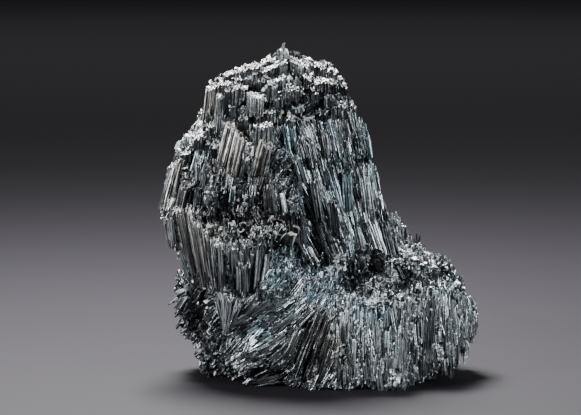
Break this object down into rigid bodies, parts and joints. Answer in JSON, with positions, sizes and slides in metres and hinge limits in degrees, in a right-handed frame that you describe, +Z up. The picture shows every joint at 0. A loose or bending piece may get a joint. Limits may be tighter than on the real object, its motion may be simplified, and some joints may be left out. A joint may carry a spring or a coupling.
{
  "type": "betekhtinite crystal cluster",
  "caption": "Natural mineral specimen: a sheaf of striated, metallic black crystal bundles grown into one mass, with a tall fanned tower and a broad foot with a terraced shelf.",
  "frame": {"origin": "on the resting plane, under the middle of the mass", "axes": "+Z up, with the tower upright; -Y towards the viewer, the side with the bulge and the shelf; +X towards the shelf"},
  "size_m": [0.0549, 0.0354, 0.0567],
  "materials": {
    "betekhtinite": "metallic, striated"
  },
  "bodies": {
    "root": {"betekhtinite_mass": "betekhtinite"}
  },
  "joints": []
}
